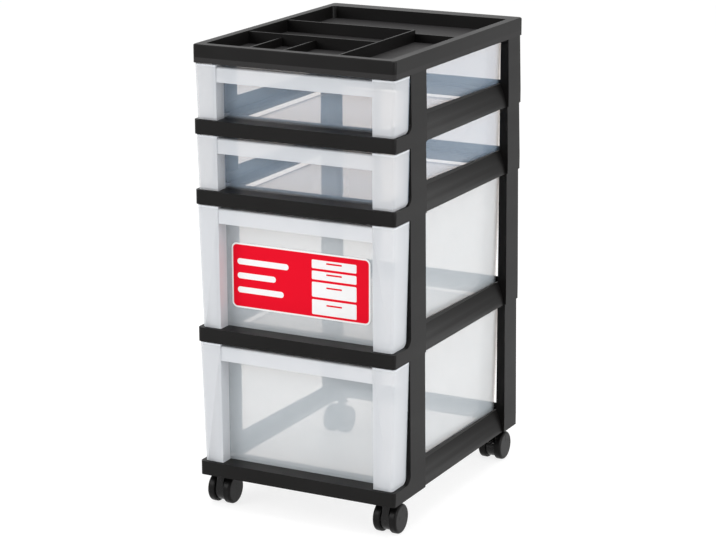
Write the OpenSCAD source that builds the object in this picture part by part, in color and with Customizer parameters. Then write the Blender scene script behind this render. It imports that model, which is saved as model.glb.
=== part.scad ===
// Rolling drawer tower: four stacked moulded tiers, an organizer tray on top, two shallow
// and two deep clear drawers, and four twin-wheel swivel casters.
// X runs to the right, Y to the back and Z up. The origin lies on the floor, under the
// middle of the tower.

/* [Tower] */
// Width of the tower, side to side
tower_w = 305; // [280:1:400]
// Depth of the tower, front to back
tower_d = 406; // [370:1:500]
// Radius of the tower's upright corners
corner_r = 5; // [4:0.5:9]
// Wall thickness of the black mouldings
skin = 2.5; // [2:0.1:3]

/* [Tiers] */
// Height of the band round the foot of each tier
band_h = 20; // [18:0.5:30]
// Height of the opening for a shallow drawer
shallow_h = 77.5; // [65:0.5:120]
// Height of the opening for a deep drawer
deep_h = 175; // [150:1:240]
// Depth of the front deck, which lies in front of the front posts
deck_d = 49; // [44:1:60]
// Width of a post, front to back
post_w = 46; // [36:1:60]
// Thickness of a post, side to side
post_t = 13.5; // [12.5:0.5:16]
// How much a post's outer faces draw in from foot to head
post_taper = 1.5; // [0.5:0.1:2]
// Radius between the front deck and a front post
cove_r = 12; // [6:0.5:16]
// Height of the tenon that a post pushes into the moulding above
tenon_h = 8; // [5:0.5:12]
// Clearance round a tenon
tenon_gap = 0.3; // [0.2:0.05:0.4]

/* [Rails] */
// Height that a rail stands above the deck
rail_rise = 12; // [8:0.5:16]
// Distance of a rail's lower edge behind the tower's face
rail_foot = 3; // [2:0.5:5]
// How far a rail leans in from foot to head
rail_lean = 10.3; // [7:0.1:11]
// How far a rail's face bulges out between foot and head
rail_bulge = 1.2; // [0.6:0.1:2]
// Reach of the drawer ledge, from the tower's face inwards
ledge_w = 37.5; // [30:0.5:50]
// Height of a side rail's lip at its front end
lip_front = 6; // [4:0.5:8]
// Height of a side rail's lip at its back end
lip_back = 1; // [0.5:0.5:3]

/* [Organizer tray] */
// Height of the tray moulding
tray_h = 25; // [23:0.5:40]
// Depth of the tray below its rim
tray_depth = 18; // [12:0.5:19]
// Width of the rim at the front and the sides
rim_w = 13; // [12:0.5:18]
// Width of the rim at the back
rim_back = 27; // [16:0.5:30]
// Radius of the tray's inner corners
tray_r = 5; // [3:0.5:9]
// Bevel along the rim's outer edge
rim_bevel = 1.2; // [0.6:0.1:1.6]
// Thickness of the tray's dividers
divider_t = 2.5; // [1.6:0.1:4]
// Distance of the middle divider behind the front face
row_1 = 131; // [90:1:140]
// Distance of the rear divider behind the front face
row_2 = 241; // [180:1:260]
// Distance of the long side divider right of the centre
aisle_x = 61; // [40:1:90]
// Width of the two small cells in the front row
cell_w = 52; // [35:1:60]
// Drop of the high dividers below the rim
high_drop = 1; // [1:0.5:4]
// Drop of the low dividers below the rim
low_drop = 6; // [4:0.5:9]

/* [Drawers] */
// Wall thickness of a drawer
drawer_t = 2.2; // [1.6:0.1:3]
// Distance of a drawer's corner pillars behind the tower's front face
front_gap = 2.5; // [1:0.1:4]
// Clearance between a pillar and the tower's side face
side_gap = 1.7; // [1:0.1:3]
// Clearance above a drawer
top_gap = 1.5; // [1:0.1:3]
// Clearance under a drawer
slide_gap = 0.3; // [0.2:0.05:0.5]
// Clearance between a drawer's box and the guides beside it
guide_gap = 1; // [0.6:0.1:2]
// Clearance between a pillar's back and the front post
wrap_gap = 1.5; // [1:0.1:3]
// Width of a corner pillar at its head
pillar_w = 33; // [26:1:44]
// Draft of a drawer's outer walls, in degrees
draft = 1.5; // [0.5:0.1:1.8]
// Depth of the front panel's recess between the pillars
recess_d = 23.5; // [15:0.5:30]
// Height of the pull bar's skirt
pull_h = 21; // [14:0.5:30]
// Drop of the pull bar below the pillars' heads
pull_drop = 2.5; // [1:0.1:4]
// Distance of the pull bar behind the pillars' faces
pull_set = 1; // [0.5:0.1:3]
// Radius along the pull bar's front edge
pull_r = 3; // [2.5:0.1:5]
// Radius of a drawer's rear corners
drawer_r = 20; // [16:1:40]
// Overhang of the bead round a drawer's rim
bead_w = 1.6; // [1:0.1:2]
// Height of the bead round a drawer's rim
bead_h = 3; // [2:0.5:5]
// Distance of the bead below the rim
bead_drop = 0.6; // [0.4:0.1:1]

/* [Label] */
// Width of the label on the upper deep drawer
label_w = 214; // [120:1:220]
// Height of the label
label_h = 92; // [60:1:95]
// Radius of the label's corners
label_r = 8; // [4:0.5:14]
// Thickness of the label
label_t = 0.3; // [0.2:0.05:0.5]
// Distance of the label's middle left of the drawer's middle
label_x = 4; // [0:0.5:5]
// Height of the label's middle above the drawer's foot
label_z = 74; // [66:1:80]

/* [Casters] */
// Diameter of a wheel
wheel_d = 42; // [40:1:60]
// Width of a wheel
wheel_w = 11; // [9:0.5:14]
// Clearance between a wheel and the tower's underside
wheel_gap = 5; // [4.5:0.5:8]
// Width of the housing between two wheels
hood_w = 12.4; // [11:0.1:16]
// Clearance between the housing and a wheel
hub_gap = 0.6; // [0.3:0.1:0.9]
// Radius of the housing round the axle
hood_r = 17.5; // [14:0.5:18]
// Distance of a stem inside the tower's faces
stem_inset = 22; // [21:0.5:28]
// Distance of the axle behind the stem
trail = 9; // [6:0.5:12]
// Diameter of a stem
stem_d = 8; // [6:0.5:9]
// Diameter of an axle
axle_d = 5; // [4:0.5:6]
// Running clearance round a stem or an axle, on the radius
running_gap = 0.05; // [0.03:0.01:0.1]
// Clearance between a stem's collar and its socket
collar_gap = 0.3; // [0.2:0.05:0.5]

/* [Hidden] */

black = [0.16, 0.16, 0.165];
clear = [0.84, 0.87, 0.92, 0.5];
red = [0.86, 0.05, 0.13];
steel = [0.7, 0.7, 0.72];
cut = 1;                      // how far a cutting shape runs past the face it cuts
rib_t = 2;                    // thickness of the ribs on a tier's underside
rib_foot = 5;                 // height of the ribs under the ledges above the tier's foot
rib_count = 3;                // ribs under each ledge

// Heights of the stack
openings = [shallow_h, shallow_h, deep_h, deep_h];
base_z = wheel_d + wheel_gap;
// Height of the top of tier n's opening; tier 5 stands for the tower's underside
function head_z(n) = n > len(openings) ? base_z : head_z(n + 1) + band_h + openings[n - 1];
function foot_z(n) = head_z(n + 1);
function deck_z(n) = foot_z(n) + band_h;

// Plan positions of the mouldings
half_w = tower_w / 2;
half_d = tower_d / 2;
front_post_y = deck_d - half_d;
rear_post_y = half_d - post_w;
post_ys = [front_post_y, rear_post_y];
hole_w = tower_w - 2 * ledge_w;
hole_y0 = front_post_y + skin;
hole_y1 = half_d - ledge_w;

// Rail section: an arc from foot to head that bulges outwards
rail_h = band_h + rail_rise;
rail_head = rail_foot + rail_lean;
guide_x = rail_head + skin;   // inner face of the guides, from the tower's face
chord = sqrt(rail_lean * rail_lean + rail_h * rail_h);
arc_r = chord * chord / (8 * rail_bulge) + rail_bulge / 2;
arc_x = rail_foot + rail_lean / 2 + rail_h / chord * (arc_r - rail_bulge);
arc_y = rail_h / 2 - rail_lean / chord * (arc_r - rail_bulge);

// Drawer plan, from the tower's middle
pillar_x = half_w - side_gap;
pillar_in = pillar_x - pillar_w;
pillar_y = -half_d + front_gap;
panel_y = pillar_y + recess_d;
wrap_y = front_post_y - wrap_gap;
box_x = half_w - guide_x - guide_gap;
box_y = half_d - guide_x - guide_gap;
wrap_r = cove_r;              // the pillar's lower rear corner follows the cove
wrap_bite = 0.2;              // how far that corner's arc reaches past the faces it joins
pillar_r = 4;                 // radius of a pillar's outer front edge
edge_r = 1.5;                 // radius of a drawer's small upright edges

// Caster levels and widths
axle_z = wheel_d / 2;
flange_t = 1.2;
flange_d = stem_d + 9;
collar_t = 1.5;
collar_d = stem_d + 6;
socket_d = stem_d + 3;
socket_l = band_h - 2 * skin;
boss_d = socket_d + 2 * skin;
hood_top = base_z - flange_t - collar_gap - collar_t;
stem_foot = axle_z + axle_d;
stem_top = base_z + socket_l - skin;
wheel_x = hood_w / 2 + hub_gap;   // inner face of a wheel, from the stem's line
axle_reach = wheel_w - 3;         // how far the axle enters a wheel
stem_x = half_w - stem_inset;
stem_y = half_d - stem_inset;

// ---------------------------------------------------------------- plane shapes

// Rectangle about the origin with rounded corners
module rounded_rect(w, d, r) {
    square([w - 2 * r, d], center = true);
    square([w, d - 2 * r], center = true);
    for (sx = [-1, 1], sy = [-1, 1])
        translate([sx * (w / 2 - r), sy * (d / 2 - r)]) circle(r, $fn = 48);
}

// Plan of the whole tower
module tower_plan(inset = 0) {
    rounded_rect(tower_w - 2 * inset, tower_d - 2 * inset, corner_r - inset);
}

// Plan of one right-hand post, its walls moved in by inset
module post_plan(y, inset = 0) {
    intersection() {
        translate([half_w - post_t + inset, y + inset])
            square([post_t - 2 * inset, post_w - 2 * inset]);
        tower_plan();
    }
}

// Plan of the opening in the middle of a tier
module hole_plan() {
    translate([-hole_w / 2, hole_y0]) square([hole_w, hole_y1 - hole_y0]);
}

// ---------------------------------------------------------------- tier mouldings

// The same thing on the left and on the right
module both_sides() {
    children();
    mirror([1, 0, 0]) children();
}

// A right-hand post, or its core when inset is set; its outer faces draw in towards the head
module post(y, h, inset = 0) {
    rear = y == rear_post_y ? post_taper / post_w : 0;
    translate([half_w - post_t, y])
        linear_extrude(h, scale = [1 - post_taper / post_t, 1 - rear], slices = 1)
            translate([post_t - half_w, -y]) post_plan(y, inset);
}

// Tenon on the head of a post
module tenon(y, h) {
    translate([0, 0, h]) linear_extrude(tenon_h) post_plan(y, skin + tenon_gap);
}

// Section of a rail: x runs inwards from the tower's face, y up from the foot
module rail_section() {
    intersection() {
        translate([arc_x, arc_y]) circle(arc_r, $fn = 360);
        union() {
            square([ledge_w, band_h]);
            square([guide_x, rail_h]);
        }
    }
}

// The hollow behind a rail's face and under its ledge, which is a plain shelf
module rail_core_section() {
    intersection() {
        translate([arc_x, arc_y]) circle(arc_r - skin, $fn = 360);
        union() {
            translate([0, -cut]) square([ledge_w + cut, band_h - skin + cut]);
            translate([0, -cut]) square([rail_head, rail_h - skin + cut]);
        }
    }
}

// The hollow under a ledge beside a post
module ledge_core_section() {
    translate([post_t, -cut]) square([ledge_w - post_t + cut, band_h - skin + cut]);
}

// What a rib takes up of the hollow: it slopes from the rail's face up to the ledge's edge
module rib_section() {
    polygon([
        [0, rib_foot], [ledge_w - skin, band_h - skin],
        [ledge_w - skin, rail_h], [0, rail_h]
    ]);
}

// Runs a rail's section along the left face, which lies at -face
module along(face, y0, y1) {
    translate([-face, y1, 0]) rotate([90, 0, 0]) linear_extrude(y1 - y0) children();
}

// The hollow of a whole rail, with ribs left standing in it
module rail_core(face, y0, y1) {
    pitch = (y1 - y0) / (rib_count + 1);
    difference() {
        along(face, y0, y1) rail_core_section();
        for (i = [1 : rib_count])
            along(face, y0 + i * pitch - rib_t / 2, y0 + i * pitch + rib_t / 2) rib_section();
    }
}

// Lip on a side rail, lower towards the back
module rail_lip() {
    translate([guide_x - half_w - skin, 0, rail_h])
        rotate([90, 0, 90])
            linear_extrude(skin)
                polygon([
                    [front_post_y + post_w, -cut], [rear_post_y, -cut],
                    [rear_post_y, lip_back], [front_post_y + post_w, lip_front]
                ]);
}

// Rounded corner between the front deck and a front post
module cove() {
    translate([-half_w, front_post_y, band_h])
        rotate([90, 0, 90])
            linear_extrude(guide_x)
                difference() {
                    translate([-cove_r, -cut]) square([cove_r + cut, cove_r + cut]);
                    translate([-cove_r, cove_r]) circle(cove_r, $fn = 64);
                }
}

// Front part of the band, back to the rear of the front posts
module front_band() {
    linear_extrude(band_h)
        intersection() {
            tower_plan();
            translate([-half_w, -half_d]) square([tower_w, deck_d + post_w]);
        }
}

// The hollow under the front part of the band. The posts, the deck's rear edge and cross ribs
// are left standing.
module front_band_core() {
    rib_xs = [-hole_w / 2, -hole_w / 4, 0, hole_w / 4, hole_w / 2];
    translate([0, 0, -cut])
        linear_extrude(band_h - skin + cut)
            difference() {
                intersection() {
                    tower_plan(skin);
                    translate([-half_w, -half_d]) square([tower_w, deck_d + post_w - skin]);
                }
                translate([-hole_w / 2, hole_y0 - skin]) square([hole_w, skin]);
                for (s = [-1, 1]) scale([s, 1]) translate([half_w - post_t, front_post_y])
                    square([post_t, post_w]);
                for (x = rib_xs) translate([x - rib_t / 2, -half_d]) square([rib_t, deck_d + skin]);
            }
}

// Boss under the deck that holds a caster's socket, with its two ribs
module caster_boss() {
    rib_h = band_h - skin / 2;
    cylinder(h = rib_h, d = boss_d, $fn = 48);
    translate([-stem_inset + skin / 2, -rib_t / 2, 0]) cube([stem_inset, rib_t, rib_h]);
    translate([-rib_t / 2, -stem_inset + skin / 2, 0]) cube([rib_t, stem_inset, rib_h]);
}

// Puts a child under each corner of the tower; the child's -X and -Y point to the outside
module at_corners() {
    for (sx = [-1, 1], sy = [-1, 1])
        translate([sx * stem_x, sy * stem_y, 0])
            scale([-sx, -sy, 1]) children();
}

// One tier: band, ledges, rails and four posts, moulded in one piece
module tier_frame(n) {
    post_h = openings[n - 1];
    lowest = n == len(openings);
    color(black) translate([0, 0, foot_z(n)]) difference() {
        union() {
            difference() {
                union() {
                    front_band();
                    both_sides() along(half_w, front_post_y + post_w - skin, rear_post_y + skin)
                        rail_section();
                    both_sides() along(half_w, rear_post_y, hole_y1) square([ledge_w, band_h]);
                    rotate([0, 0, -90]) along(half_d, post_t - half_w - skin, half_w - post_t + skin)
                        rail_section();
                }
                front_band_core();
                both_sides() rail_core(half_w, front_post_y + post_w, rear_post_y);
                both_sides() along(half_w, front_post_y + post_w - 2 * skin, front_post_y + post_w + cut)
                    ledge_core_section();
                both_sides() along(half_w, rear_post_y - cut, hole_y1 + cut) ledge_core_section();
                rotate([0, 0, -90]) rail_core(half_d, post_t - half_w, half_w - post_t);
            }
            both_sides() {
                along(half_w, front_post_y, front_post_y + post_w)
                    translate([rail_head, band_h - cut]) square([skin, rail_rise + cut]);
                along(half_w, rear_post_y, hole_y1)
                    translate([rail_head, band_h - cut]) square([skin, rail_rise + cut]);
                rail_lip();
                cove();
                for (y = post_ys) {
                    linear_extrude(band_h) post_plan(y);
                    translate([0, 0, band_h]) post(y, post_h);
                    translate([0, 0, band_h]) tenon(y, post_h);
                }
            }
            if (lowest) at_corners() caster_boss();
        }
        translate([0, 0, -cut]) linear_extrude(band_h + rail_h) hole_plan();
        both_sides() for (y = post_ys) {
            translate([0, 0, -cut]) linear_extrude(band_h + cut) post_plan(y, skin);
            translate([0, 0, band_h]) post(y, post_h - skin, skin);
        }
        if (lowest) at_corners()
            translate([0, 0, -cut]) cylinder(h = socket_l + cut, d = socket_d, $fn = 48);
    }
}

// ---------------------------------------------------------------- organizer tray

// Plan of the basin, its walls moved out by grow
module basin_plan(grow = 0) {
    w = tower_w - 2 * rim_w + 2 * grow;
    d = tower_d - rim_w - rim_back + 2 * grow;
    translate([0, (rim_w - rim_back) / 2]) rounded_rect(w, d, tray_r + grow);
}

// A divider in the tray between two plan points along X or Y, its top drop below the rim
module divider(x0, y0, x1, y1, drop) {
    translate([x0 - divider_t / 2, y0 - divider_t / 2, tray_h - tray_depth - cut])
        cube([x1 - x0 + divider_t, y1 - y0 + divider_t, tray_depth - drop + cut]);
}

// Tray on top of the tower: rim, skirt, basin and dividers
module organizer_tray() {
    left = rim_w - half_w - divider_t / 2;
    right = half_w - rim_w + divider_t / 2;
    front = rim_w - half_d - divider_t / 2;
    y1 = row_1 - half_d;
    y2 = row_2 - half_d;
    floor_z = tray_h - tray_depth;
    color(black) translate([0, 0, head_z(1)]) {
        difference() {
            union() {
                linear_extrude(tray_h - rim_bevel) tower_plan();
                translate([0, 0, tray_h - rim_bevel])
                    linear_extrude(rim_bevel, slices = 1, scale = [
                        1 - 2 * rim_bevel / tower_w, 1 - 2 * rim_bevel / tower_d
                    ]) tower_plan();
            }
            translate([0, 0, floor_z]) linear_extrude(tray_depth + cut) basin_plan();
            translate([0, 0, -cut]) linear_extrude(tray_h - skin + cut) difference() {
                tower_plan(skin);
                basin_plan(skin);
                for (s = [-1, 1]) scale([s, 1]) for (y = post_ys) post_plan(y);
            }
            translate([0, 0, -cut]) linear_extrude(floor_z - skin + cut) difference() {
                tower_plan(skin);
                for (s = [-1, 1]) scale([s, 1]) for (y = post_ys) post_plan(y);
            }
            both_sides() for (y = post_ys) translate([0, 0, -cut])
                linear_extrude(tenon_h + tenon_gap + cut) post_plan(y, skin);
        }
        divider(left, y2, aisle_x, y2, high_drop);
        divider(left, y1, aisle_x, y1, high_drop);
        divider(aisle_x, front, aisle_x, y2, high_drop);
        divider(aisle_x, y2, right, y2, low_drop);
        for (i = [1, 2]) {
            x = rim_w - half_w + i * cell_w;
            divider(x, front, x, y1, low_drop);
        }
    }
}

// ---------------------------------------------------------------- drawers

// Points of a closed path with each corner of pts rounded by the radius beside it
function rounded(pts, radii, steps) = [
    for (i = [0 : len(pts) - 1])
        let (
            n = len(pts),
            p = pts[i],
            a = pts[(i + n - 1) % n] - p,
            b = pts[(i + 1) % n] - p,
            ua = a / norm(a),
            ub = b / norm(b),
            r = radii[i],
            mid = p + r * (ua + ub)
        )
        for (k = [0 : steps[i]])
            let (t = 90 * k / steps[i])
            mid - r * (sin(t) * ua + cos(t) * ub)
];

// Solid between two outlines with the same number of points, z0 and z1 high
module loft(lower, upper, z0, z1) {
    n = len(lower);
    polyhedron(
        points = concat([for (p = lower) [p[0], p[1], z0]], [for (p = upper) [p[0], p[1], z1]]),
        faces = concat(
            [[for (i = [0 : n - 1]) i]],
            [[for (i = [n - 1 : -1 : 0]) i + n]],
            [for (i = [0 : n - 1]) [i, i + n, (i + 1) % n + n]],
            [for (i = [0 : n - 1]) [i, (i + 1) % n + n, (i + 1) % n]]
        )
    );
}

// Outline of the front of a drawer, pillars and all. drop is the distance below the rim
// and t is how far the walls are moved in.
function pillar_outline(drop, t) =
    let (
        s = drop * tan(draft),
        xo = pillar_x - s - t,
        yf = pillar_y + s / 2 + t,
        yw = wrap_y - t
    )
    rounded(
        [[-xo, yf], [xo, yf], [xo, yw], [-xo, yw]],
        [pillar_r - t, pillar_r - t, edge_r, edge_r], [5, 5, 2, 2]
    );

// Outline of the box behind the pillars; its front end lies inside them
function box_outline(drop, t) =
    let (
        s = drop * tan(draft),
        xb = box_x - s - t,
        yp = panel_y + drawer_t / 2 + t,
        yr = box_y - s - t
    )
    rounded(
        [[-xb, yp], [xb, yp], [xb, yr], [-xb, yr]],
        [edge_r, edge_r, drawer_r - t, drawer_r - t], [2, 2, 12, 12]
    );

// Plan of the recess between the pillars, its walls moved out by t
module recess_plan(t) {
    translate([-pillar_in - t, -tower_d]) square([2 * (pillar_in + t), tower_d + panel_y + t]);
}

// Rounds the lower rear corner of both pillars. The arc crosses the faces at a small angle.
module wrap_corner(t) {
    both_sides() translate([pillar_in, wrap_y - wrap_r, wrap_r])
        rotate([90, 0, 90]) linear_extrude(pillar_w + cut) difference() {
            translate([0, -wrap_r - cut]) square([wrap_r + cut, wrap_r + cut]);
            circle(wrap_r + wrap_bite - t, $fn = 64);
        }
}

// Outer form of a drawer h high, or its hollow when t is set
module drawer_body(h, t) {
    z1 = t > 0 ? h + cut : h;
    difference() {
        union() {
            difference() {
                loft(pillar_outline(h - t, t), pillar_outline(h - z1, t), t, z1);
                wrap_corner(t);
            }
            loft(box_outline(h - t, t), box_outline(h - z1, t), t, z1);
        }
        translate([0, 0, -cut]) linear_extrude(h + 3 * cut) recess_plan(t);
    }
}

// Pull bar between the pillars: a flange and a skirt that hangs free in front of the panel
module pull_bar(h) {
    top = h - pull_drop;
    reach = panel_y - pillar_y - pull_set + drawer_t / 2;
    translate([-pillar_in - drawer_t / 2, pillar_y + pull_set, top])
        rotate([90, 0, 90]) linear_extrude(2 * pillar_in + drawer_t) {
            difference() {
                union() {
                    translate([pull_r, -drawer_t]) square([reach - pull_r, drawer_t]);
                    translate([0, -pull_h]) square([drawer_t, pull_h - pull_r]);
                    translate([pull_r, -pull_r]) circle(pull_r, $fn = 48);
                }
                translate([pull_r, -pull_r]) circle(pull_r - drawer_t, $fn = 48);
                translate([pull_r, -2 * pull_r]) square([2 * pull_r, 2 * pull_r - drawer_t]);
                translate([drawer_t, -2 * pull_r - cut]) square([pull_r, pull_r + cut]);
            }
        }
}

// Plan of the box behind the pillars, its walls moved out by grow
module box_plan(grow) {
    l = box_y - wrap_y + 2 * drawer_r;
    intersection() {
        translate([0, box_y + grow - l / 2])
            rounded_rect(2 * (box_x + grow), l, drawer_r + grow);
        translate([-half_w, wrap_y - drawer_t / 2]) square([tower_w, tower_d]);
    }
}

// Bead round the rim of the box
module rim_bead(h) {
    translate([0, 0, h - bead_drop - bead_h]) linear_extrude(bead_h) difference() {
        box_plan(bead_w);
        box_plan(-drawer_t / 2);
    }
}

// One drawer: shell with its pillars and recessed panel, pull bar and bead
module drawer(n) {
    h = openings[n - 1] - slide_gap - top_gap;
    color(clear) translate([0, 0, deck_z(n) + slide_gap]) {
        difference() {
            drawer_body(h, 0);
            drawer_body(h, drawer_t);
        }
        pull_bar(h);
        rim_bead(h);
    }
}

// Plain label on the panel of the upper deep drawer
module label() {
    color(red) translate([-label_x, panel_y, deck_z(3) + slide_gap + label_z])
        rotate([90, 0, 0]) linear_extrude(label_t) rounded_rect(label_w, label_h, label_r);
}

// ---------------------------------------------------------------- casters

// Sleeve in the base that a stem turns in
module socket() {
    color(black) difference() {
        union() {
            translate([0, 0, base_z]) cylinder(h = socket_l, d = socket_d, $fn = 48);
            translate([0, 0, base_z - flange_t]) cylinder(h = flange_t, d = flange_d, $fn = 48);
        }
        translate([0, 0, base_z - flange_t - cut])
            cylinder(h = socket_l + flange_t + 2 * cut, d = stem_d + 2 * running_gap, $fn = 48);
    }
}

// Steel stem with its collar and a grooved, bevelled head
module stem() {
    r = stem_d / 2;
    groove = 0.6;
    groove_w = 1.2;
    head_l = 2.6;
    tip = 1;
    groove_z = stem_top - head_l - groove;
    color(steel) rotate_extrude($fn = 48) polygon([
        [0, stem_foot], [r, stem_foot],
        [r, hood_top], [collar_d / 2, hood_top],
        [collar_d / 2, hood_top + collar_t], [r, hood_top + collar_t],
        [r, groove_z - groove_w - groove], [r - groove, groove_z - groove_w],
        [r - groove, groove_z], [r, stem_top - head_l],
        [r, stem_top - tip], [r - tip, stem_top],
        [0, stem_top]
    ]);
}

// Housing that carries the stem above and the axle below, between the wheels
module hood() {
    color(black) difference() {
        hull() {
            translate([-hood_w / 2, trail, axle_z]) rotate([0, 90, 0])
                cylinder(h = hood_w, r = hood_r, $fn = 40);
            translate([0, 0, axle_z]) cylinder(h = hood_top - axle_z, d = hood_w, $fn = 32);
        }
        translate([-hood_w, trail, axle_z]) rotate([0, 90, 0])
            cylinder(h = 2 * hood_w, d = axle_d, $fn = 48);
        translate([0, 0, stem_foot]) cylinder(h = hood_top, d = stem_d, $fn = 48);
    }
}

// Steel axle through the housing into both wheels
module axle() {
    l = 2 * (wheel_x + axle_reach - collar_gap);
    color(steel) translate([-l / 2, trail, axle_z]) rotate([0, 90, 0])
        cylinder(h = l, d = axle_d, $fn = 48);
}

// Section of a wheel: x is the radius and y runs from the inner to the outer face
module wheel_section() {
    r = wheel_d / 2;
    outer_r = 3.5;
    inner_r = 2;
    hub_r = axle_d / 2 + 4;
    rim_t = 4;
    web = wheel_w / 2;
    difference() {
        union() {
            square([r - outer_r, wheel_w]);
            translate([0, inner_r]) square([r, wheel_w - inner_r - outer_r]);
            square([r - inner_r, inner_r]);
            translate([r - outer_r, wheel_w - outer_r]) circle(outer_r, $fn = 48);
            translate([r - inner_r, inner_r]) circle(inner_r, $fn = 48);
        }
        translate([-outer_r, -cut]) square([outer_r + axle_d / 2 + running_gap, axle_reach + cut]);
        translate([hub_r, -cut]) square([r - rim_t - hub_r, web + cut]);
        translate([-2 * r, -cut]) square([2 * r, wheel_w + 2 * cut]);
    }
}

// Wheel right of the housing; side -1 puts it on the left
module wheel(side) {
    color(black) scale([side, 1, 1]) translate([wheel_x, trail, axle_z])
        rotate([0, 90, 0]) rotate_extrude($fn = 96) wheel_section();
}

// Puts a caster's piece under a corner: side is -1 at the left and end is -1 at the front.
// The wheels trail towards the middle of the tower.
module at_stem(side, end) {
    translate([side * stem_x, end * stem_y, 0]) rotate([0, 0, end > 0 ? 180 : 0]) children();
}

// ---------------------------------------------------------------- the pieces

organizer_tray();
tier_frame(1);  // tier_frame_1
tier_frame(2);  // tier_frame_2
tier_frame(3);  // tier_frame_3
tier_frame(4);  // tier_frame_4
drawer(1);  // drawer_1
drawer(2);  // drawer_2
drawer(3);  // drawer_3
drawer(4);  // drawer_4
label();

at_stem(-1, -1) socket();  // socket_fl
at_stem(-1, -1) stem();  // stem_fl
at_stem(-1, -1) hood();  // hood_fl
at_stem(-1, -1) axle();  // axle_fl
at_stem(-1, -1) wheel(-1);  // wheel_left_fl
at_stem(-1, -1) wheel(1);  // wheel_right_fl

at_stem(1, -1) socket();  // socket_fr
at_stem(1, -1) stem();  // stem_fr
at_stem(1, -1) hood();  // hood_fr
at_stem(1, -1) axle();  // axle_fr
at_stem(1, -1) wheel(-1);  // wheel_left_fr
at_stem(1, -1) wheel(1);  // wheel_right_fr

at_stem(-1, 1) socket();  // socket_rl
at_stem(-1, 1) stem();  // stem_rl
at_stem(-1, 1) hood();  // hood_rl
at_stem(-1, 1) axle();  // axle_rl
at_stem(-1, 1) wheel(1);  // wheel_left_rl
at_stem(-1, 1) wheel(-1);  // wheel_right_rl

at_stem(1, 1) socket();  // socket_rr
at_stem(1, 1) stem();  // stem_rr
at_stem(1, 1) hood();  // hood_rr
at_stem(1, 1) axle();  // axle_rr
at_stem(1, 1) wheel(1);  // wheel_left_rr
at_stem(1, 1) wheel(-1);  // wheel_right_rr
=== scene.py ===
import math

import bmesh
import bpy
from bpy.props import FloatProperty, FloatVectorProperty, PointerProperty
from mathutils import Matrix, Vector


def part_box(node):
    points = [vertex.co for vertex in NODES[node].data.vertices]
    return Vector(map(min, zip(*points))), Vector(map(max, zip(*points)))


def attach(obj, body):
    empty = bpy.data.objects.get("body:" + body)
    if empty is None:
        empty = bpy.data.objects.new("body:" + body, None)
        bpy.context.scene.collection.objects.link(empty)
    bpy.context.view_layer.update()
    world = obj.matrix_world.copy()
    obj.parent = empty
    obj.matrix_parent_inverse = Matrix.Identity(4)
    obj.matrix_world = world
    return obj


bl_info = {
    "name": "Drawer tower",
    "version": (1, 0, 0),
    "blender": (4, 5, 0),
    "location": "View3D > Sidebar > Tower",
    "description": "Finishes and small pieces of a rolling tower of plastic drawers",
    "category": "Object",
}

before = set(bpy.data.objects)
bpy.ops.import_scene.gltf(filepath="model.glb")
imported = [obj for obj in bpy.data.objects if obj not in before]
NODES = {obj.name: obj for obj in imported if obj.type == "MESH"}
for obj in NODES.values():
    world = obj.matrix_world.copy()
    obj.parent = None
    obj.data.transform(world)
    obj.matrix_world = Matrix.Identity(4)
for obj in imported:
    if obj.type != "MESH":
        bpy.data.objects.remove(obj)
CORNERS = ("fl", "fr", "rl", "rr")
SIDES = ("left", "right")
# Levels from the top down, each with a tier frame and a drawer, and those with a shallow drawer
LEVELS = (1, 2, 3, 4)
SHALLOW = (1, 2)

# Lengths are in metres, as everywhere in the file

# Edges rounded by modifiers: how near points are merged, and the sharpness that is rounded
WELD_DISTANCE = 0.00002
EDGE_SEGMENTS = 2
EDGE_DEGREES = 40.0
# Sharpness that stays visible on the pieces modelled here
SMOOTH_DEGREES = 35.0

# Depth of the tray below its rim, and how far above its floor the etching still shows
TRAY_DEPTH = 0.018
FLOOR_MARGIN = 0.0003

# Camera: its angles in degrees, its distance, the point it looks at, and its lens for a picture
# of this width, both in pixels
CAMERA_AZIMUTH = 27.553
CAMERA_ELEVATION = 14.971
CAMERA_ROLL = -0.162
CAMERA_DISTANCE = 3.4604
CAMERA_SIDE = -0.0072
CAMERA_HEIGHT = 0.31335
PICTURE_PIXELS = 716
FOCAL_PIXELS = 2436.8
SENSOR_WIDTH = 36.0

# Stage: the floor's colour as light meets it, its colour and glow as the camera sees it, and how
# many clear walls one sight line may pass
WHITE = (1.0, 1.0, 1.0, 1.0)
FLOOR_WIDTH = 40.0
FLOOR_PALE = (0.86, 0.86, 0.86, 1.0)
FLOOR_SEEN = (0.30, 0.30, 0.30, 1.0)
FLOOR_GLOW = 0.80
CLEAR_WALLS = 32

# Lamps: setting that holds the power, width of the panel, its place, and the point it faces
LAMPS = {
    "key": ("key_light", 1.6, (-1.5, -2.3, 1.7), (0.0, 0.0, 0.32)),
    "side": ("side_light", 1.3, (2.4, -0.5, 1.1), (0.0, 0.0, 0.32)),
    "top": ("top_light", 1.8, (0.1, 0.2, 2.5), (0.0, 0.0, 0.4)),
}


# ------------------------------------------------------------------ settings


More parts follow.
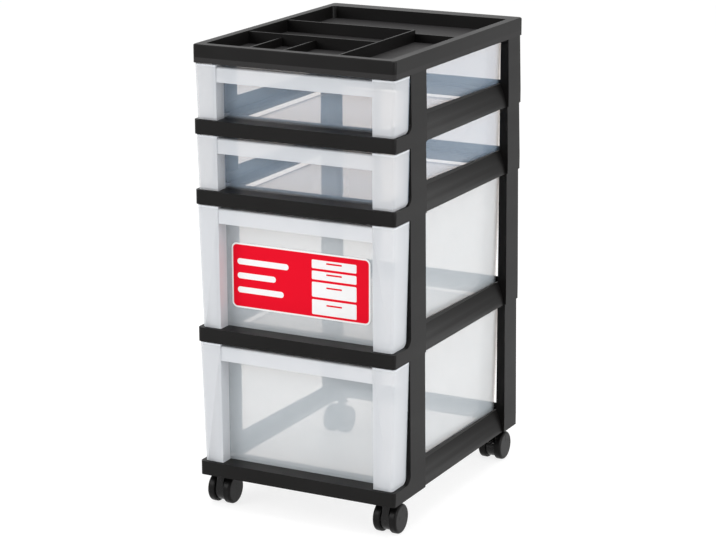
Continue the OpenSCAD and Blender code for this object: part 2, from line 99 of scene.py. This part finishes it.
class TowerColours(bpy.types.PropertyGroup):
    """Colours of the tower's finishes"""

    frame_black: FloatVectorProperty(
        name="Frame", description="Black of the moulded tiers and the tray",
        subtype="COLOR", size=3, min=0, max=1, default=(0.0042, 0.0038, 0.0037),
    )
    etched_black: FloatVectorProperty(
        name="Tray floor", description="Greyer black of the tray's etched floor",
        subtype="COLOR", size=3, min=0, max=1, default=(0.0240, 0.0230, 0.0232),
    )
    shallow_haze: FloatVectorProperty(
        name="Shallow drawers", description="Cool haze in the walls of the shallow drawers",
        subtype="COLOR", size=3, min=0, max=1, default=(0.61, 0.79, 1.0),
    )
    deep_haze: FloatVectorProperty(
        name="Deep drawers", description="Cool haze in the walls of the deep drawers",
        subtype="COLOR", size=3, min=0, max=1, default=(0.84, 0.93, 1.0),
    )
    wall_tint: FloatVectorProperty(
        name="Drawer tint", description="Warm tint of what is seen through one face",
        subtype="COLOR", size=3, min=0, max=1, default=(1.0, 0.975, 0.955),
    )
    frosted: FloatVectorProperty(
        name="Frosted plastic", description="Colour of the pillars and the pull bars",
        subtype="COLOR", size=3, min=0, max=1, default=(0.77, 0.80, 0.84),
    )
    label_red: FloatVectorProperty(
        name="Label", description="Ground colour of the label",
        subtype="COLOR", size=3, min=0, max=1, default=(0.79, 0.0025, 0.0190),
    )
    label_white: FloatVectorProperty(
        name="Label print", description="Colour of the label's border and shapes",
        subtype="COLOR", size=3, min=0, max=1, default=(0.90, 0.90, 0.90),
    )
    wheel_black: FloatVectorProperty(
        name="Wheels", description="Black of the casters' wheels and housings",
        subtype="COLOR", size=3, min=0, max=1, default=(0.0050, 0.0048, 0.0048),
    )
    steel: FloatVectorProperty(
        name="Steel", description="Colour of the stems, the rings and the axles",
        subtype="COLOR", size=3, min=0, max=1, default=(0.56, 0.56, 0.58),
    )


class TowerSizes(bpy.types.PropertyGroup):
    """Sizes of the small pieces and the rounding, and how much the clear walls cover"""

    grain: FloatProperty(
        name="Grain", description="Size of the texture in the black mouldings",
        subtype="DISTANCE", unit="LENGTH", default=0.0007, min=0.0002, max=0.004,
    )
    frame_edge: FloatProperty(
        name="Frame edge", description="Radius along the edges of the tiers and the tray",
        subtype="DISTANCE", unit="LENGTH", default=0.0006, min=0.0, max=0.002,
    )
    drawer_edge: FloatProperty(
        name="Drawer edge", description="Radius along the edges of the drawers",
        subtype="DISTANCE", unit="LENGTH", default=0.0004, min=0.0, max=0.0008,
    )
    shallow_cover: FloatProperty(
        name="Shallow drawers' haze", description="Cover of one face of their smooth walls",
        default=0.17, min=0.0, max=1.0, subtype="FACTOR",
    )
    deep_cover: FloatProperty(
        name="Deep drawers' haze", description="Cover of one face of their smooth walls",
        default=0.27, min=0.0, max=1.0, subtype="FACTOR",
    )
    pillar_cover: FloatProperty(
        name="Pillars' haze", description="How much more one face of a pillar covers",
        default=0.34, min=0.0, max=1.0, subtype="FACTOR",
    )
    bar_cover: FloatProperty(
        name="Pull bars' haze", description="How much more one face of a pull bar covers",
        default=0.38, min=0.0, max=1.0, subtype="FACTOR",
    )
    cap_radius: FloatProperty(
        name="Cap radius", description="Radius of the cap on a wheel's outer face",
        subtype="DISTANCE", unit="LENGTH", default=0.0168, min=0.010, max=0.0172,
    )
    ring_wire: FloatProperty(
        name="Ring wire", description="Thickness of the snap ring in a stem's groove",
        subtype="DISTANCE", unit="LENGTH", default=0.0008, min=0.0005, max=0.0011,
    )


class TowerStage(bpy.types.PropertyGroup):
    """Power of the lamps and of the room's own light"""

    key_light: FloatProperty(
        name="Key light", description="Power of the large light at the left front",
        default=32.0, min=0.0, max=500.0, unit="POWER",
    )
    side_light: FloatProperty(
        name="Side light", description="Power of the light at the right",
        default=20.0, min=0.0, max=500.0, unit="POWER",
    )
    top_light: FloatProperty(
        name="Top light", description="Power of the light overhead",
        default=26.0, min=0.0, max=500.0, unit="POWER",
    )
    room_light: FloatProperty(
        name="Room light", description="Strength of the light from all around",
        default=0.66, min=0.0, max=2.0,
    )


# ------------------------------------------------------------------ shader maths


class Value:
    """A number, a colour or a shader in a node tree, with arithmetic on numbers."""

    def __init__(self, owner, socket):
        self.owner = owner
        self.socket = socket

    def math(self, operation, *others):
        return self.owner.math(operation, self, *others)

    def __add__(self, other):
        return self.math("ADD", other)

    def __sub__(self, other):
        return self.math("SUBTRACT", other)

    def __rsub__(self, other):
        return self.owner.math("SUBTRACT", other, self)

    def __mul__(self, other):
        return self.math("MULTIPLY", other)

    def __abs__(self):
        return self.math("ABSOLUTE")

    __radd__ = __add__
    __rmul__ = __mul__

    def at_most(self, other):
        return self.math("MINIMUM", other)

    def at_least(self, other):
        return self.math("MAXIMUM", other)

    def clamped(self):
        return self.at_most(1.0).at_least(0.0)

    def above(self, edge, soft):
        """0 below the edge and 1 above it, changing over the width soft."""
        return ((self - edge) * (1.0 / soft) + 0.5).clamped()

    def below(self, edge, soft):
        return 1.0 - self.above(edge, soft)


class Tree:
    """A node tree under construction."""

    def __init__(self, owner, output):
        owner.use_nodes = True
        self.nodes = owner.node_tree.nodes
        self.links = owner.node_tree.links
        self.nodes.clear()
        self.output = self.nodes.new(output)

    def node(self, kind, options=None, inputs=None):
        """Adds a node, sets its options and then its inputs, and returns its outputs by name."""
        made = self.nodes.new(kind)
        for key, value in (options or {}).items():
            setattr(made, key, value)
        for key, value in (inputs or {}).items():
            if isinstance(value, Value):
                self.links.new(value.socket, made.inputs[key])
            else:
                made.inputs[key].default_value = value
        return {socket.name: Value(self, socket) for socket in made.outputs if socket.enabled}

    def math(self, operation, *values):
        """A Math node on numbers and values."""
        made = self.node("ShaderNodeMath", {"operation": operation}, dict(enumerate(values)))
        return made["Value"]

    def seen(self):
        """1 for rays from the camera, in a mirror or through glass, and 0 for all others."""
        ray = self.node("ShaderNodeLightPath")
        return (ray["Is Camera Ray"] + ray["Is Glossy Ray"] + ray["Is Transmission Ray"]).clamped()

    def mix(self, factor, first, second):
        """Mix of two shaders."""
        return self.node("ShaderNodeMixShader", None, {0: factor, 1: first, 2: second})["Shader"]

    def close(self, shader):
        """Joins the shader to the tree's output."""
        self.links.new(shader.socket, self.output.inputs["Surface"])


class Finish(Tree):
    """One material under construction."""

    def __init__(self, name):
        self.material = bpy.data.materials.new(name)
        super().__init__(self.material, "ShaderNodeOutputMaterial")
        self.point = self.node("ShaderNodeTexCoord")["Object"]
        parts = self.node("ShaderNodeSeparateXYZ", None, {0: self.point})
        self.x, self.y, self.z = parts["X"], parts["Y"], parts["Z"]

    def noise(self, scale, detail=3.0, roughness=0.55, point=None):
        """Noise with scale cells to the metre, at the piece's own point unless one is given."""
        inputs = {
            "Vector": point or self.point, "Scale": scale, "Detail": detail,
            "Roughness": roughness,
        }
        return self.node("ShaderNodeTexNoise", None, inputs)["Fac"]

    def stretched(self, x, y, z):
        """The point with each axis scaled."""
        inputs = {"Vector": self.point, "Scale": (x, y, z)}
        return self.node("ShaderNodeMapping", None, inputs)["Vector"]

    def colours(self, factor, first, second):
        """Mix of two colours, whose sockets are the Mix node's seventh and eighth."""
        inputs = {0: factor, 6: as_rgba(first), 7: as_rgba(second)}
        return self.node("ShaderNodeMix", {"data_type": "RGBA"}, inputs)["Result"]

    def bump(self, height, strength, distance):
        """A normal raised by height, a value from 0 to 1, over the distance."""
        inputs = {"Strength": strength, "Distance": distance, "Height": height}
        return self.node("ShaderNodeBump", None, inputs)["Normal"]

    def surface(self, **inputs):
        """A Principled shader, with its sockets named in lower case."""
        named = {
            SOCKETS.get(key, key.replace("_", " ").title()): value
            for key, value in inputs.items()
        }
        return self.node("ShaderNodeBsdfPrincipled", None, named)["BSDF"]

    def done(self, shader):
        """The material, once its shader is complete."""
        self.close(shader)
        return self.material


# Principled sockets whose names aren't just their words in capitals
SOCKETS = {"ior": "IOR", "shine": "Specular IOR Level"}


def as_rgba(colour):
    """A colour with its alpha; a value from the node tree passes as it is."""
    return colour if isinstance(colour, Value) else (*tuple(colour)[:3], 1.0)


def scaled(colour, factor, lift=0.0):
    """A colour made brighter or darker, and then paler by lift."""
    return tuple(min(1.0, c * factor + lift) for c in tuple(colour)[:3])


# ------------------------------------------------------------------ finishes


# Moulded black: the scales of its clouds, flow marks and flecks, the level of noise that makes a
# fleck, the height over which the etching ends, and its relief, roughness and shine
CLOUD_SCALE = 9.0
FLOW_SCALE = 5.0
FLOW_STRETCH = (1.0, 0.25, 6.0)
FLECK_SCALE = 900.0
FLECK_LEVEL = 0.73
ETCH_BLEND = 0.0004
GRAIN_DEPTH = 0.00025
BLACK_ROUGHNESS = 0.26
BLACK_SHINE = 0.15


def moulded_black(colours, sizes, floor_z=None):
    """Satin black moulding: fine grain, flow marks, rubbed patches and a little dust.

    Below floor_z, where it is given, the mould was etched, and the surface is greyer and duller.
    """
    finish = Finish("tray_black" if floor_z else "moulded_black")
    etched = finish.z.below(floor_z, ETCH_BLEND) if floor_z else 0.0
    grain = finish.noise(1.0 / sizes.grain, 2.0)
    cloud = finish.noise(CLOUD_SCALE, 4.0, 0.6)
    flow = finish.noise(FLOW_SCALE, 3.0, 0.5, finish.stretched(*FLOW_STRETCH))
    fleck = finish.noise(FLECK_SCALE, 1.0).above(FLECK_LEVEL, 0.05)
    dust = (cloud.above(0.55, 0.35) * 0.45 + fleck * 0.30).clamped()
    wear = cloud * 0.14 + grain * 0.08 + flow * 0.10 + etched * 0.12
    black = colours.frame_black
    clean = finish.colours(dust, black, scaled(black, 1.7, 0.003))
    return finish.done(finish.surface(
        base_color=finish.colours(etched, clean, colours.etched_black) if floor_z else clean,
        roughness=(wear + BLACK_ROUGHNESS).clamped(),
        normal=finish.bump(grain * 0.7 + flow * 0.3, 0.14, GRAIN_DEPTH),
        shine=BLACK_SHINE,
    ))


# Clear drawers: where the frosting of the pillars and the pull bar begins, and how deep the
# painted highlight along the rim and the floor are, each with the width over which it fades
PILLAR_INNER_X, PILLAR_FADE_X = 0.1206, 0.0008
PILLAR_REAR_Y, PILLAR_FADE_Y = -0.1585, 0.0010
BAR_REAR_Y, BAR_FADE = -0.1795, 0.0010
RIM_HIGHLIGHT_DEPTH, RIM_HIGHLIGHT_FADE = 0.0024, 0.0012
FLOOR_DEPTH, FLOOR_FADE = 0.0028, 0.0016
# How much more than the smooth walls the rim's painted highlight and the floors cover
RIM_HIGHLIGHT_COVER = 0.28
SHALLOW_FLOOR = -0.10
DEEP_FLOOR = 0.084
# Scales and relief of their frosting and waves, and the clear walls' own roughness and index
FROST_SCALE = 1500.0
WAVE_SCALE = 14.0
FROST_DEPTH = 0.0003
CLEAR_ROUGHNESS = 0.12
CLEAR_IOR = 1.49


def clear_drawer(colours, sizes, name, shallow, low, high):
    """Clear moulding: smooth walls, frosted pillars and pull bar, and a painted highlight along
    its rims.

    The corners low and high are those of the drawer's box.
    """
    finish = Finish(name)
    haze = colours.shallow_haze if shallow else colours.deep_haze
    base = sizes.shallow_cover if shallow else sizes.deep_cover
    floor = SHALLOW_FLOOR if shallow else DEEP_FLOOR
    beside = abs(finish.x).above(PILLAR_INNER_X, PILLAR_FADE_X)
    pillar = beside * finish.y.below(PILLAR_REAR_Y, PILLAR_FADE_Y)
    bar = finish.y.below(BAR_REAR_Y, BAR_FADE) * (1.0 - pillar)
    # Painted highlight: a band at the top of the walls is made more opaque and paler, standing for
    # light caught along the rims
    rim_highlight = finish.z.above(high.z - RIM_HIGHLIGHT_DEPTH, RIM_HIGHLIGHT_FADE)
    foot = finish.z.below(low.z + FLOOR_DEPTH, FLOOR_FADE)
    frost = finish.noise(FROST_SCALE, 2.0)
    wave = finish.noise(WAVE_SCALE, 3.0, 0.5)
    facing = finish.node("ShaderNodeLayerWeight", None, {"Blend": 0.30})["Facing"]
    cover = (
        base
        + pillar * sizes.pillar_cover
        + bar * sizes.bar_cover
        + rim_highlight * RIM_HIGHLIGHT_COVER
        + foot * floor
        + facing * 0.10
        + (wave - 0.5) * 0.03
    ).clamped()
    # The frosted colour here is the pillars' and pull bar's own, and also paints the highlight
    # along the rims
    pale = (pillar + bar + rim_highlight + foot * 0.3).clamped()
    skin = finish.surface(
        base_color=finish.colours(pale, haze, colours.frosted),
        roughness=(CLEAR_ROUGHNESS + pillar * 0.26 + bar * 0.12 + frost * 0.05).clamped(),
        normal=finish.bump(frost * (pillar + bar * 0.5) + wave * 0.10, 0.08, FROST_DEPTH),
        ior=CLEAR_IOR,
    )
    tint = {"Color": as_rgba(colours.wall_tint)}
    clear = finish.node("ShaderNodeBsdfTransparent", None, tint)["BSDF"]
    return finish.done(finish.mix(cover, clear, skin))


# Label: width and corner radius of its border, and how soft its print is
BORDER = 0.0022
BORDER_RADIUS = 0.0060
PRINT_FADE = 0.0004
# A small stack of drawers at the right: its place and half width, and for each drawer the height
# of its middle and half its own, with a slot for its handle
STACK_X, STACK_HALF, STACK_RADIUS = 0.052, 0.034, 0.0016
STACK = ((0.0300, 0.0060), (0.0145, 0.0060), (-0.0055, 0.0105), (-0.0300, 0.0105))
SLOT_HALF, SLOT_HALF_H, SLOT_RADIUS, SLOT_RISE = 0.012, 0.0012, 0.0010, 0.35
# Three plain bars at the left: where they start, half their height, and for each one the height
# of its middle and half its length
BARS_X, BAR_HALF_H, BAR_RADIUS = -0.098, 0.0042, 0.0040
BARS = ((0.020, 0.040), (0.0, 0.030), (-0.020, 0.036))
INK_SCALE = 2600.0
INK_DEPTH = 0.0001
LABEL_ROUGHNESS = 0.34
LABEL_SHINE = 0.06


def printed_label(colours):
    """Red film with a white rounded border and plain shapes of this design's own."""
    finish = Finish("printed_label")
    low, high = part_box("label")
    middle, half = (low + high) / 2, (high - low) / 2
    x, z = finish.x - middle.x, finish.z - middle.z

    def rounded(cx, cz, w, h, r):
        """1 inside a rounded rectangle about (cx, cz), w and h being half its sizes."""
        dx = (abs(x - cx) - (w - r)).at_least(0.0)
        dz = (abs(z - cz) - (h - r)).at_least(0.0)
        return (dx * dx + dz * dz).math("SQRT").below(r, PRINT_FADE)

    shapes = 1.0 - rounded(0.0, 0.0, half.x - BORDER, half.z - BORDER, BORDER_RADIUS)
    for cz, tall in STACK:
        front = rounded(STACK_X, cz, STACK_HALF, tall, STACK_RADIUS)
        slot = rounded(STACK_X, cz + tall * SLOT_RISE, SLOT_HALF, SLOT_HALF_H, SLOT_RADIUS)
        shapes = shapes.at_least(front * (1.0 - slot))
    for cz, long in BARS:
        shapes = shapes.at_least(rounded(BARS_X + long, cz, long, BAR_HALF_H, BAR_RADIUS))
    ink = finish.noise(INK_SCALE, 1.0)
    return finish.done(finish.surface(
        base_color=finish.colours(shapes, colours.label_red, colours.label_white),
        roughness=(LABEL_ROUGHNESS + ink * 0.10).clamped(),
        normal=finish.bump(ink, 0.05, INK_DEPTH),
        shine=LABEL_SHINE,
    ))


# Casters: scales and relief of the nylon's grain and scuffs, the level of noise that makes a
# scuff, and the name, shine and clean roughness of each part's material
NYLON_SCALE = 1800.0
NYLON_DEPTH = 0.0002
SCUFF_SCALE = 120.0
SCUFF_LEVEL = 0.60
WHEEL_LOOK = ("wheel_black", 0.12, 0.30)
HOUSING_LOOK = ("housing_black", 0.22, 0.16)
CAP_LOOK = ("cap_black", 0.14, 0.26)


def caster_black(colours, name, shine, clean):
    """Black nylon with fine grain and scuffs; clean is its roughness between the scuffs."""
    finish = Finish(name)
    grain = finish.noise(NYLON_SCALE, 2.0)
    scuff = finish.noise(SCUFF_SCALE, 4.0, 0.7).above(SCUFF_LEVEL, 0.12)
    black = colours.wheel_black
    return finish.done(finish.surface(
        base_color=finish.colours(scuff * 0.45, black, scaled(black, 2.4, 0.006)),
        roughness=(clean + scuff * 0.20 + grain * 0.06).clamped(),
        normal=finish.bump(grain, 0.08, NYLON_DEPTH),
        shine=shine,
    ))


# Steel: pace of its turning marks in radians to the metre, their relief, the scale of its clouds,
# and its roughness
TURNING_MARKS = 9000.0
MARK_DEPTH = 0.0001
STEEL_CLOUD_SCALE = 60.0
STEEL_ROUGHNESS = 0.24


def plated_steel(colours, name):
    """Zinc-plated steel with turning marks."""
    finish = Finish(name)
    rings = (finish.z * TURNING_MARKS).math("SINE") * 0.5 + 0.5
    cloud = finish.noise(STEEL_CLOUD_SCALE, 3.0)
    return finish.done(finish.surface(
        base_color=finish.colours(cloud, colours.steel, scaled(colours.steel, 0.72)),
        roughness=(STEEL_ROUGHNESS + cloud * 0.20).clamped(),
        normal=finish.bump(rings, 0.06, MARK_DEPTH),
        metallic=1.0,
    ))


# ------------------------------------------------------------------ modelling help


def settings():
    """The user's colours, sizes and stage settings."""
    scene = bpy.context.scene
    return scene.tower_colours, scene.tower_sizes, scene.tower_stage


def dress(names, material):
    """Gives CAD nodes a material."""
    for name in names:
        slots = NODES[name].data.materials
        slots.clear()
        slots.append(material)


def soften(name, radius):
    """Rounds the edges of a CAD node with modifiers, over its untouched mesh."""
    node = NODES[name]
    weld = node.modifiers.new("weld", "WELD")
    weld.merge_threshold = WELD_DISTANCE
    bevel = node.modifiers.new("edge", "BEVEL")
    bevel.width = radius
    bevel.segments = EDGE_SEGMENTS
    bevel.limit_method = "ANGLE"
    bevel.angle_limit = math.radians(EDGE_DEGREES)
    bevel.use_clamp_overlap = True
    bevel.harden_normals = True


def start(name, add, **shape):
    """Adds a primitive with nothing else selected, and names it."""
    bpy.ops.object.select_all(action="DESELECT")
    add(**shape)
    piece = bpy.context.object
    piece.name = piece.data.name = name
    return piece


def pick_faces(piece, wanted):
    """Selects the faces of the piece in edit mode whose normal passes the test."""
    mesh = bmesh.from_edit_mesh(piece.data)
    for face in mesh.faces:
        face.select_set(wanted(face.normal))
    mesh.select_flush_mode()
    bmesh.update_edit_mesh(piece.data)


def settle(piece, smooth_degrees=SMOOTH_DEGREES):
    """Puts the piece's place into its mesh and smooths its round faces."""
    bpy.ops.object.transform_apply(location=True, rotation=True, scale=True)
    bpy.ops.object.shade_smooth_by_angle(angle=math.radians(smooth_degrees))
    return piece


def copied(piece, name, place):
    """A copy of the piece with its own mesh, moved and turned by the matrix place."""
    mesh = piece.data.copy()
    mesh.name = name
    mesh.transform(place)
    copy = bpy.data.objects.new(name, mesh)
    bpy.context.scene.collection.objects.link(copy)
    return copy


# ------------------------------------------------------------------ operators


class TOWER_OT_tiers(bpy.types.Operator):
    """Finish the tiers, the organizer tray and the casters' sockets"""

    bl_idname = "tower.tiers"
    bl_label = "Tiers and tray"

    def execute(self, context):
        colours, sizes, _ = settings()
        tiers = [f"tier_frame_{n}" for n in LEVELS]
        dress(tiers + [f"socket_{c}" for c in CORNERS], moulded_black(colours, sizes))
        floor_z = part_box("organizer_tray")[1].z - TRAY_DEPTH + FLOOR_MARGIN
        dress(["organizer_tray"], moulded_black(colours, sizes, floor_z))
        for name in ["organizer_tray", *tiers]:
            soften(name, sizes.frame_edge)
        return {"FINISHED"}


class TOWER_OT_drawers(bpy.types.Operator):
    """Finish the four clear drawers"""

    bl_idname = "tower.drawers"
    bl_label = "Drawers"

    def execute(self, context):
        colours, sizes, _ = settings()
        for n in LEVELS:
            name = f"drawer_{n}"
            finish = clear_drawer(colours, sizes, f"clear_{name}", n in SHALLOW, *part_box(name))
            dress([name], finish)
            soften(name, sizes.drawer_edge)
        return {"FINISHED"}


class TOWER_OT_label(bpy.types.Operator):
    """Finish the label on the upper deep drawer"""

    bl_idname = "tower.label"
    bl_label = "Label"

    def execute(self, context):
        colours, _, _ = settings()
        dress(["label"], printed_label(colours))
        return {"FINISHED"}


class TOWER_OT_casters(bpy.types.Operator):
    """Finish the casters' wheels, housings, stems and axles"""

    bl_idname = "tower.casters"
    bl_label = "Casters"

    def execute(self, context):
        colours, _, _ = settings()
        wheels = [f"wheel_{side}_{c}" for side in SIDES for c in CORNERS]
        dress(wheels, caster_black(colours, *WHEEL_LOOK))
        dress([f"hood_{c}" for c in CORNERS], caster_black(colours, *HOUSING_LOOK))
        turned = [f"{part}_{c}" for part in ("stem", "axle") for c in CORNERS]
        dress(turned, plated_steel(colours, "plated_steel"))
        return {"FINISHED"}


class TOWER_OT_wheel_caps(bpy.types.Operator):
    """Model the stepped cap on each wheel's outer face"""

    bl_idname = "tower.wheel_caps"
    bl_label = "Wheel caps"

    # Rings from the rim inwards: width of each, and how far it rises, in metres
    RINGS = (
        (0.0007, 0.00035), (0.0016, 0.0), (0.0003, -0.00045), (0.0006, 0.0), (0.0003, 0.00045),
        (0.0060, 0.00010), (0.0030, -0.00030), (0.0006, 0.00045), (0.0012, 0.00015),
    )
    # How deep the cap is sunk in the wheel, and how far its rim stands out
    SUNK = 0.0006
    PROUD = 0.00005
    SEGMENTS = 72
    # Least X of a normal that counts as facing outwards, and the sharpness that stays visible
    FACING = 0.9
    SMOOTH_DEGREES = 50.0

    def execute(self, context):
        colours, sizes, _ = settings()
        finish = caster_black(colours, *CAP_LOOK)
        model = self.cap(sizes.cap_radius)
        model.data.materials.append(finish)
        for corner in CORNERS:
            for side in SIDES:
                wheel = f"wheel_{side}_{corner}"
                low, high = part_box(wheel)
                rightwards = high.x + low.x > sum(v.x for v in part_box(f"hood_{corner}"))
                face = (low + high) / 2
                face.x = high.x if rightwards else low.x
                turn = Matrix.Rotation(0.0 if rightwards else math.pi, 4, "Z")
                cap = copied(model, f"cap_{side}_{corner}", Matrix.Translation(face) @ turn)
                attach(cap, wheel)
        bpy.data.objects.remove(model)
        return {"FINISHED"}

    def cap(self, radius):
        """A cap about the X axis, sunk a little below X = 0, its outer face towards +X."""
        cap = start(
            "cap", bpy.ops.mesh.primitive_cylinder_add, vertices=self.SEGMENTS, radius=radius,
            depth=2 * self.SUNK, rotation=(0.0, math.pi / 2, 0.0),
        )
        bpy.ops.object.transform_apply(location=False, rotation=True, scale=False)
        bpy.ops.object.mode_set(mode="EDIT")
        pick_faces(cap, lambda normal: normal.x > self.FACING)
        bpy.ops.transform.translate(value=(self.PROUD - self.SUNK, 0.0, 0.0))
        for width, rise in self.RINGS:
            bpy.ops.mesh.inset(thickness=width, depth=rise)
        bpy.ops.mesh.select_all(action="SELECT")
        bpy.ops.mesh.normals_make_consistent(inside=False)
        bpy.ops.object.mode_set(mode="OBJECT")
        return settle(cap, self.SMOOTH_DEGREES)


class TOWER_OT_snap_rings(bpy.types.Operator):
    """Model the open snap ring in the groove near each stem's head"""

    bl_idname = "tower.snap_rings"
    bl_label = "Snap rings"

    # The ring's outside radius, the gap between its ends, and its depth below the stem's head
    RADIUS = 0.0040
    OPEN_DEGREES = 40.0
    BELOW_HEAD = 0.0038
    WIRE_SEGMENTS = 12
    STEPS = 40
    MERGE_DISTANCE = 0.000001
    # A point that no two of the ring's corners or faces are equally far from
    SORT_POINT = (0.013, 0.0071, 0.0037)

    def execute(self, context):
        colours, sizes, _ = settings()
        model = self.ring(sizes.ring_wire)
        model.data.materials.append(plated_steel(colours, "ring_steel"))
        for corner in CORNERS:
            low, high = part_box(f"stem_{corner}")
            groove = (low + high) / 2
            groove.z = high.z - self.BELOW_HEAD
            ring = copied(model, f"snap_ring_{corner}", Matrix.Translation(groove))
            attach(ring, f"caster_{corner}")
        bpy.data.objects.remove(model)
        return {"FINISHED"}

    def ring(self, wire):
        """A round wire bent about the Z axis, its ends closed."""
        ring = start(
            "ring", bpy.ops.mesh.primitive_circle_add, vertices=self.WIRE_SEGMENTS,
            radius=wire / 2, fill_type="NGON", location=(self.RADIUS - wire / 2, 0.0, 0.0),
            rotation=(math.pi / 2, 0.0, 0.0),
        )
        bpy.ops.object.transform_apply(location=True, rotation=True, scale=False)
        bpy.ops.object.mode_set(mode="EDIT")
        bpy.ops.mesh.select_all(action="SELECT")
        bpy.ops.mesh.spin(
            steps=self.STEPS, angle=math.radians(360.0 - self.OPEN_DEGREES),
            center=(0.0, 0.0, 0.0), axis=(0.0, 0.0, 1.0),
        )
        bpy.ops.mesh.select_all(action="SELECT")
        bpy.ops.mesh.remove_doubles(threshold=self.MERGE_DISTANCE)
        bpy.ops.mesh.normals_make_consistent(inside=False)
        # spin numbers its faces anew in each run, so they are sorted for the same result each time
        cursor = bpy.context.scene.cursor
        cursor.location = self.SORT_POINT
        bpy.ops.mesh.sort_elements(type="CURSOR_DISTANCE", elements={"VERT", "EDGE", "FACE"})
        cursor.location = (0.0, 0.0, 0.0)
        bpy.ops.object.mode_set(mode="OBJECT")
        return settle(ring)


class TOWER_OT_stage(bpy.types.Operator):
    """Set up the floor, the lights and the camera"""

    bl_idname = "tower.stage"
    bl_label = "Stage"

    def execute(self, context):
        _, _, stage = settings()
        self.camera()
        self.floor()
        for name, (power, width, place, aim) in LAMPS.items():
            self.lamp(name, getattr(stage, power), width, place, aim)
        self.room(stage.room_light)
        context.scene.view_settings.view_transform = "Standard"
        context.scene.cycles.transparent_max_bounces = CLEAR_WALLS
        return {"FINISHED"}

    def camera(self):
        """The camera, looking back along a line from the point it aims at."""
        data = bpy.data.cameras.new("camera")
        data.sensor_width = SENSOR_WIDTH
        data.lens = FOCAL_PIXELS * SENSOR_WIDTH / PICTURE_PIXELS
        camera = bpy.data.objects.new("camera", data)
        bpy.context.scene.collection.objects.link(camera)
        turn, lift = math.radians(CAMERA_AZIMUTH), math.radians(CAMERA_ELEVATION)
        across = Vector((math.cos(turn), math.sin(turn), 0.0))
        back = Vector((
            math.sin(turn) * math.cos(lift), -math.cos(turn) * math.cos(lift), math.sin(lift),
        ))
        aim = across * CAMERA_SIDE + Vector((0.0, 0.0, CAMERA_HEIGHT))
        roll = Matrix.Rotation(math.radians(CAMERA_ROLL), 4, "Z").to_quaternion()
        camera.rotation_mode = "QUATERNION"
        camera.location = aim + back * CAMERA_DISTANCE
        camera.rotation_quaternion = (-back).to_track_quat("-Z", "Y") @ roll
        bpy.context.scene.camera = camera

    def floor(self):
        """The floor: pale to the light, and nearly white but for its shadow to the camera."""
        floor = start("floor", bpy.ops.mesh.primitive_plane_add, size=FLOOR_WIDTH)
        finish = Finish("floor")
        pale = finish.node("ShaderNodeBsdfDiffuse", None, {"Color": FLOOR_PALE})["BSDF"]
        faint = finish.node("ShaderNodeBsdfDiffuse", None, {"Color": FLOOR_SEEN})["BSDF"]
        glow = finish.node("ShaderNodeEmission", None, {"Strength": FLOOR_GLOW})["Emission"]
        lit = finish.node("ShaderNodeAddShader", None, {0: faint, 1: glow})["Shader"]
        floor.data.materials.append(finish.done(finish.mix(finish.seen(), pale, lit)))

    def lamp(self, name, power, width, place, aim):
        """A square area lamp at a place, facing the point it aims at."""
        data = bpy.data.lights.new(name, "AREA")
        data.energy, data.size = power, width
        lamp = bpy.data.objects.new(name, data)
        bpy.context.scene.collection.objects.link(lamp)
        lamp.location = place
        lamp.rotation_euler = (Vector(aim) - Vector(place)).to_track_quat("-Z", "Y").to_euler()

    def room(self, strength):
        """The room: soft light from all around, and plain white where it is seen itself."""
        world = bpy.data.worlds.new("studio")
        room = Tree(world, "ShaderNodeOutputWorld")
        soft = room.node("ShaderNodeBackground", None, {"Color": WHITE, "Strength": strength})
        white = room.node("ShaderNodeBackground", None, {"Color": WHITE, "Strength": 1.0})
        room.close(room.mix(room.seen(), soft["Background"], white["Background"]))
        bpy.context.scene.world = world


class TOWER_PT_panel(bpy.types.Panel):
    """Finishes, small pieces and stage of the drawer tower"""

    bl_label = "Drawer tower"
    bl_space_type = "VIEW_3D"
    bl_region_type = "UI"
    bl_category = "Tower"

    def draw(self, context):
        column = self.layout.column()
        for name in OPERATORS:
            column.operator(f"tower.{name}")
        for group in settings():
            box = self.layout.box()
            for key in group.__annotations__:
                box.prop(group, key)


OPERATORS = ("stage", "tiers", "drawers", "label", "casters", "wheel_caps", "snap_rings")
CLASSES = (
    TowerColours, TowerSizes, TowerStage, TOWER_OT_stage, TOWER_OT_tiers, TOWER_OT_drawers,
    TOWER_OT_label, TOWER_OT_casters, TOWER_OT_wheel_caps, TOWER_OT_snap_rings, TOWER_PT_panel,
)


def register():
    for cls in CLASSES:
        bpy.utils.register_class(cls)
    bpy.types.Scene.tower_colours = PointerProperty(type=TowerColours)
    bpy.types.Scene.tower_sizes = PointerProperty(type=TowerSizes)
    bpy.types.Scene.tower_stage = PointerProperty(type=TowerStage)


def unregister():
    del bpy.types.Scene.tower_stage
    del bpy.types.Scene.tower_sizes
    del bpy.types.Scene.tower_colours
    for cls in reversed(CLASSES):
        bpy.utils.unregister_class(cls)


def main():
    """Builds the tower in the order of the operators."""
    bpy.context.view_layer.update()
    register()
    for name in OPERATORS:
        getattr(bpy.ops.tower, name)()


if __name__ == "__main__":
    main()
